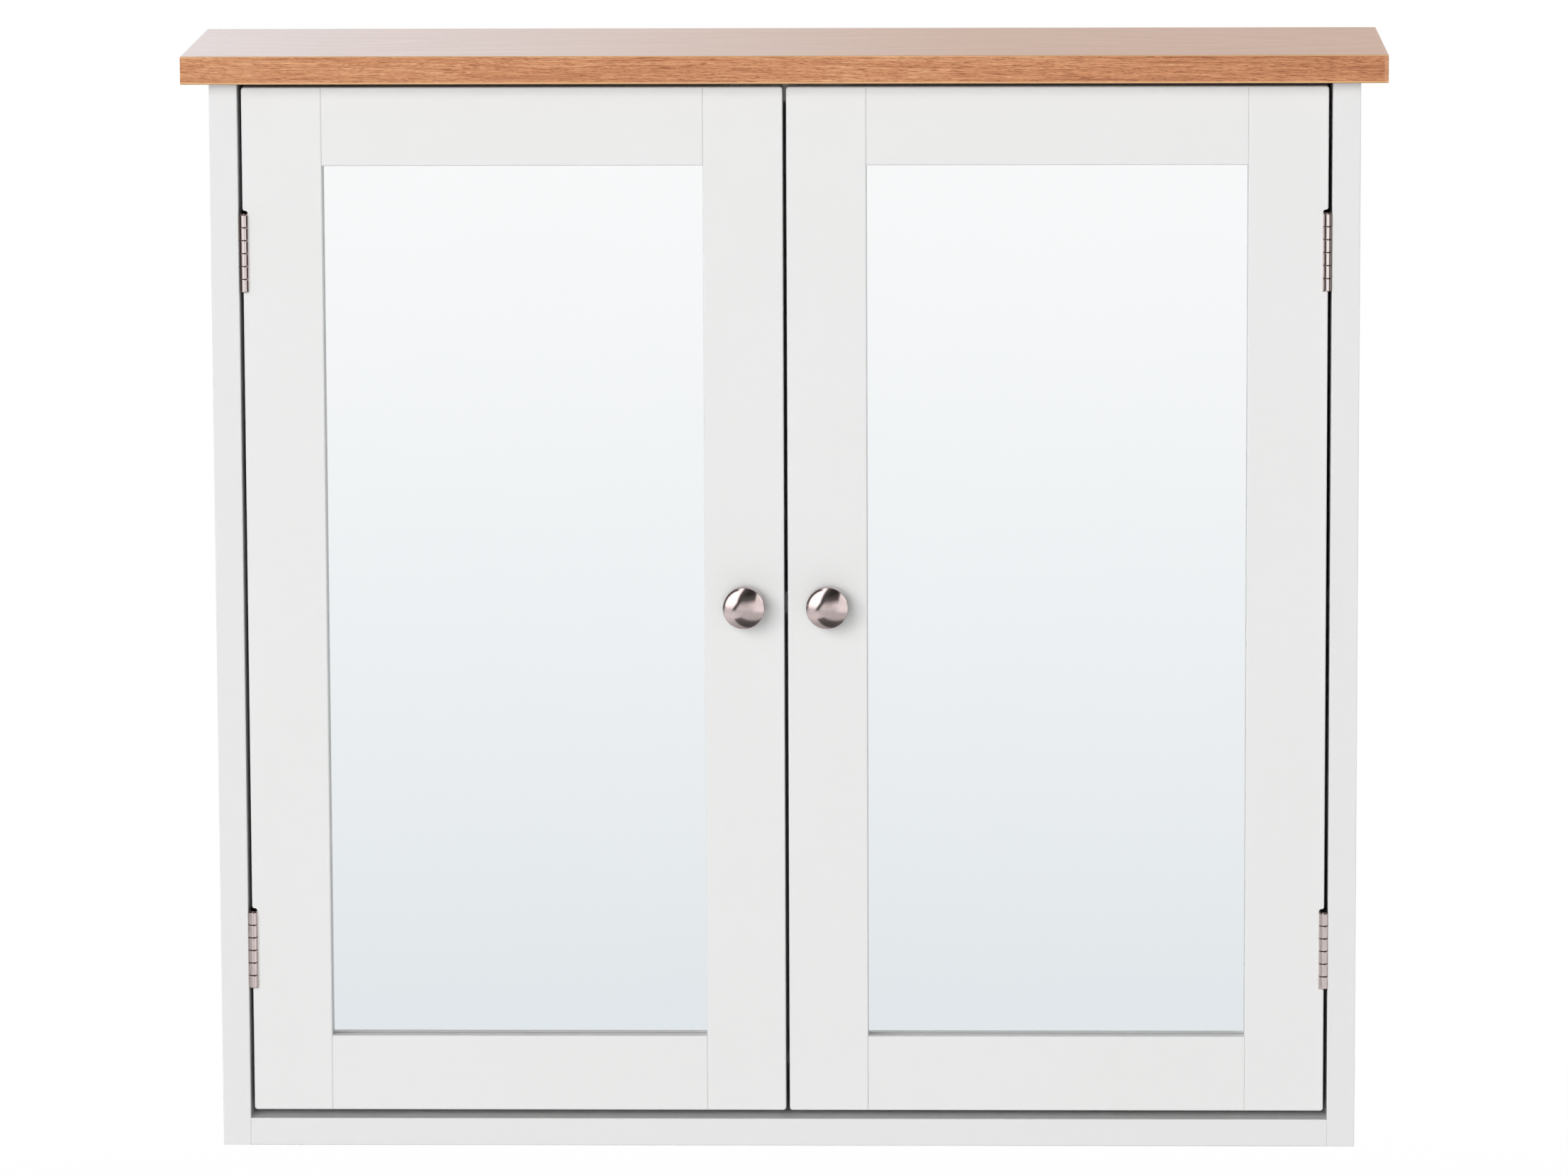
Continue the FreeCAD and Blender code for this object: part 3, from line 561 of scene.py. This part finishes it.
def add_bank(graph, direction, room):
    """The room with a bank of light on the left, a dark seam beside it and a dark corner beyond it."""
    x, y, z = graph.parts(direction)
    droop = graph.span(z, -0.30, 0.29, 0.295, 0.0)
    beyond = graph.math("SUBTRACT", graph.dot(direction, BANK_PLANE), droop)
    seam = graph.product(graph.span(beyond, -0.32, -0.18), graph.span(z, -0.30, -0.15))
    bank = graph.product(graph.span(beyond, -0.05, 0.06), graph.span(z, -0.36, 0.09))
    corner = graph.product(
        graph.span(graph.math("ADD", y, graph.math("MULTIPLY", z, 0.15)), -0.24, -0.16),
        graph.span(x, -0.15, -0.35),
        graph.span(z, -0.35, -0.10),
    )
    room = graph.mix(seam, room, grey(SEAM_LIGHT))
    room = graph.mix(bank, room, grey(BANK_LIGHT))
    return graph.mix(corner, room, grey(CORNER_LIGHT))


def mat_shape(graph, x, y):
    """1 on the dark mat, which starts at its corner and runs away to the right."""
    off_x = graph.math("SUBTRACT", x, MAT_CORNER[0])
    off_y = graph.math("SUBTRACT", y, MAT_CORNER[1])
    cosine = math.cos(MAT_TURN)
    sine = math.sin(MAT_TURN)
    along = graph.math("ADD", graph.product(off_x, cosine), graph.product(off_y, sine))
    across = graph.math("SUBTRACT", graph.product(off_y, cosine), graph.product(off_x, sine))
    return graph.product(
        graph.span(along, 0.0, MAT_END_FADE, smooth=True),
        graph.span(across, *MAT_NEAR_FADE, smooth=True),
        graph.span(across, MAT_WIDTH, MAT_WIDTH - MAT_FAR_FADE, smooth=True),
    )


def mirrored_floor(graph, place, direction):
    """The floor as reflections show it: white far off, greyer near, with the dark mat."""
    x, y, _ = graph.parts(place)
    aside, _, fall = graph.parts(direction)
    near = graph.span(aside, -0.6, -0.1, FLOOR_LEFT, FLOOR_MIDDLE)
    mat = graph.span(fall, -0.65, -0.95, MAT_FAR, MAT_UNDERFOOT)
    tone = graph.mix(graph.span(fall, -0.093, -0.235), grey(1.0), srgb(232, 236, 239))
    tone = graph.mix(graph.span(aside, 0.45, 0.85), tone, grey(FLOOR_RIGHT))
    tone = graph.mix(graph.span(fall, -0.26, -0.42), tone, near)
    tone = graph.mix(graph.span(fall, -0.60, -0.95), tone, grey(FLOOR_UNDERFOOT))
    tone = graph.mix(mat_shape(graph, x, y), tone, mat)
    return add_bank(graph, direction, tone)


def floor_material():
    """Pale, fading to white further out, and clear from below."""
    material = bpy.data.materials.new("floor")
    material.use_nodes = True
    graph = Graph(material.node_tree)
    graph.tree.nodes.clear()
    place = graph.add("ShaderNodeTexCoord").outputs["Object"]
    ray = graph.vector("SUBTRACT", place, LOOKOUT)
    direction = graph.vector("NORMALIZE", ray)
    seen, glossy = seen_rays(graph)
    backdrop = graph.mix(glossy, grey(1.0), mirrored_floor(graph, place, direction))
    away = graph.add("ShaderNodeVectorMath", {0: ray}, operation="LENGTH").outputs["Value"]
    far = graph.span(away, FLOOR_NEAR, FLOOR_FAR, smooth=True)
    shown = graph.product(seen, graph.math("MAXIMUM", far, glossy))
    matte = graph.add("ShaderNodeBsdfDiffuse", {"Color": grey(FLOOR_ALBEDO)}).outputs[0]
    glow = graph.add("ShaderNodeEmission", {"Color": graph.product(seen, FLOOR_GLOW)}).outputs[0]
    near = graph.add("ShaderNodeAddShader", {0: matte, 1: glow}).outputs[0]
    white = graph.add("ShaderNodeEmission", {"Color": backdrop}).outputs[0]
    both = graph.add("ShaderNodeMixShader", {0: shown, 1: near, 2: white}).outputs[0]
    clear = graph.add("ShaderNodeBsdfTransparent").outputs[0]
    below = graph.add("ShaderNodeNewGeometry").outputs["Backfacing"]
    surface = graph.add("ShaderNodeMixShader", {0: below, 1: both, 2: clear}).outputs[0]
    graph.add("ShaderNodeOutputMaterial", {"Surface": surface})
    return material


def make_floor():
    """A wide square below the cabinet, for its shadow to fall on."""
    height = cad_low.z - HANGING_HEIGHT
    mesh = bpy.data.meshes.new("floor")
    corners = [(-1, -1), (1, -1), (1, 1), (-1, 1)]
    mesh.from_pydata([(x * FLOOR_HALF, y * FLOOR_HALF, height) for x, y in corners], [], [(0, 1, 2, 3)])
    mesh.materials.append(floor_material())
    floor = bpy.data.objects.new("floor", mesh)
    bpy.context.scene.collection.objects.link(floor)


def soft_walls(graph, direction):
    """The room's light on the cabinet: brightest from behind and dim from overhead."""
    x, y, z = graph.parts(direction)
    before = graph.span(y, -0.10, -0.35, smooth=True)
    sides = graph.span(x, -0.5, 0.7, ROOM_LEFT, ROOM_RIGHT)
    walls = graph.mix(before, grey(ROOM_BACK), sides)
    return graph.mix(graph.span(z, 0.10, 0.42, smooth=True), walls, grey(ROOM_ZENITH))


def mirrored_room(graph, direction):
    """The room as reflections show it: bank of light, dark ceiling, bright strip, and pale behind."""
    x, y, z = graph.parts(direction)
    wall = graph.span(x, 0.2, 0.75, WALL_LEFT, WALL_RIGHT)
    height = graph.math("SUBTRACT", z, graph.math("MULTIPLY", x, CEILING_TILT))
    ceiling = graph.product(graph.span(height, 0.13, 0.42), graph.span(x, 0.68, 0.76, 1, 0))
    room = graph.mix(ceiling, wall, graph.span(z, 0.36, 0.75, CEILING_LOW, CEILING_HIGH))
    room = add_bank(graph, direction, room)
    strip = graph.product(
        graph.span(y, -0.22, -0.17),
        graph.span(x, 0.60, 0.70),
        graph.span(z, 0.15, 0.30),
    )
    room = graph.mix(strip, room, grey(STRIP_LIGHT))
    behind = graph.mix(graph.span(x, -0.10, 0.0), BEHIND_LEFT, BEHIND_RIGHT)
    return graph.mix(graph.span(y, 0.1, -0.1, smooth=True), behind, room)


def make_room():
    """World with soft light all round, white to the camera, with a room of its own in reflections."""
    world = bpy.data.worlds.new("room")
    bpy.context.scene.world = world
    world.use_nodes = True
    graph = Graph(world.node_tree)
    graph.tree.nodes.clear()
    direction = graph.add("ShaderNodeTexCoord").outputs["Generated"]
    seen, glossy = seen_rays(graph)
    backdrop = graph.mix(glossy, grey(1.0), mirrored_room(graph, direction))
    light = graph.mix(seen, soft_walls(graph, direction), backdrop)
    background = graph.add("ShaderNodeBackground", {"Color": light}).outputs[0]
    graph.add("ShaderNodeOutputWorld", {"Surface": background})


def make_softbox(name, place, size, power):
    """Square light turned to the cabinet; reflections show the room's bank of light in its place."""
    lamp = bpy.data.lights.new(name, "AREA")
    lamp.shape = "SQUARE"
    lamp.size = size
    lamp.energy = power
    softbox = bpy.data.objects.new(name, lamp)
    softbox.visible_glossy = False
    bpy.context.scene.collection.objects.link(softbox)
    target = (cad_low + cad_high) / 2
    softbox.location = place
    softbox.rotation_euler = (target - softbox.location).to_track_quat("-Z", "Y").to_euler()


def make_camera():
    camera = bpy.data.objects.new("camera", bpy.data.cameras.new("camera"))
    bpy.context.scene.collection.objects.link(camera)
    camera.data.sensor_width = CAMERA_SENSOR
    camera.data.lens = CAMERA_LENS
    turn = Matrix.Rotation(-CAMERA_YAW, 4, "Z")
    tilt = Matrix.Rotation(math.pi / 2 - CAMERA_PITCH, 4, "X")
    roll = Matrix.Rotation(CAMERA_ROLL, 4, "Z")
    camera.matrix_world = Matrix.Translation(CAMERA_PLACE) @ turn @ tilt @ roll
    bpy.context.scene.camera = camera


dress_nodes()
make_floor()
make_room()
make_softbox("key_light", KEY_PLACE, KEY_SIZE, KEY_POWER)
make_softbox("front_light", FRONT_PLACE, FRONT_SIZE, FRONT_POWER)
make_softbox("left_light", LEFT_PLACE, SIDE_SIZE, LEFT_POWER)
make_softbox("right_light", RIGHT_PLACE, SIDE_SIZE, RIGHT_POWER)
make_camera()
bpy.context.scene.view_settings.view_transform = "Standard"
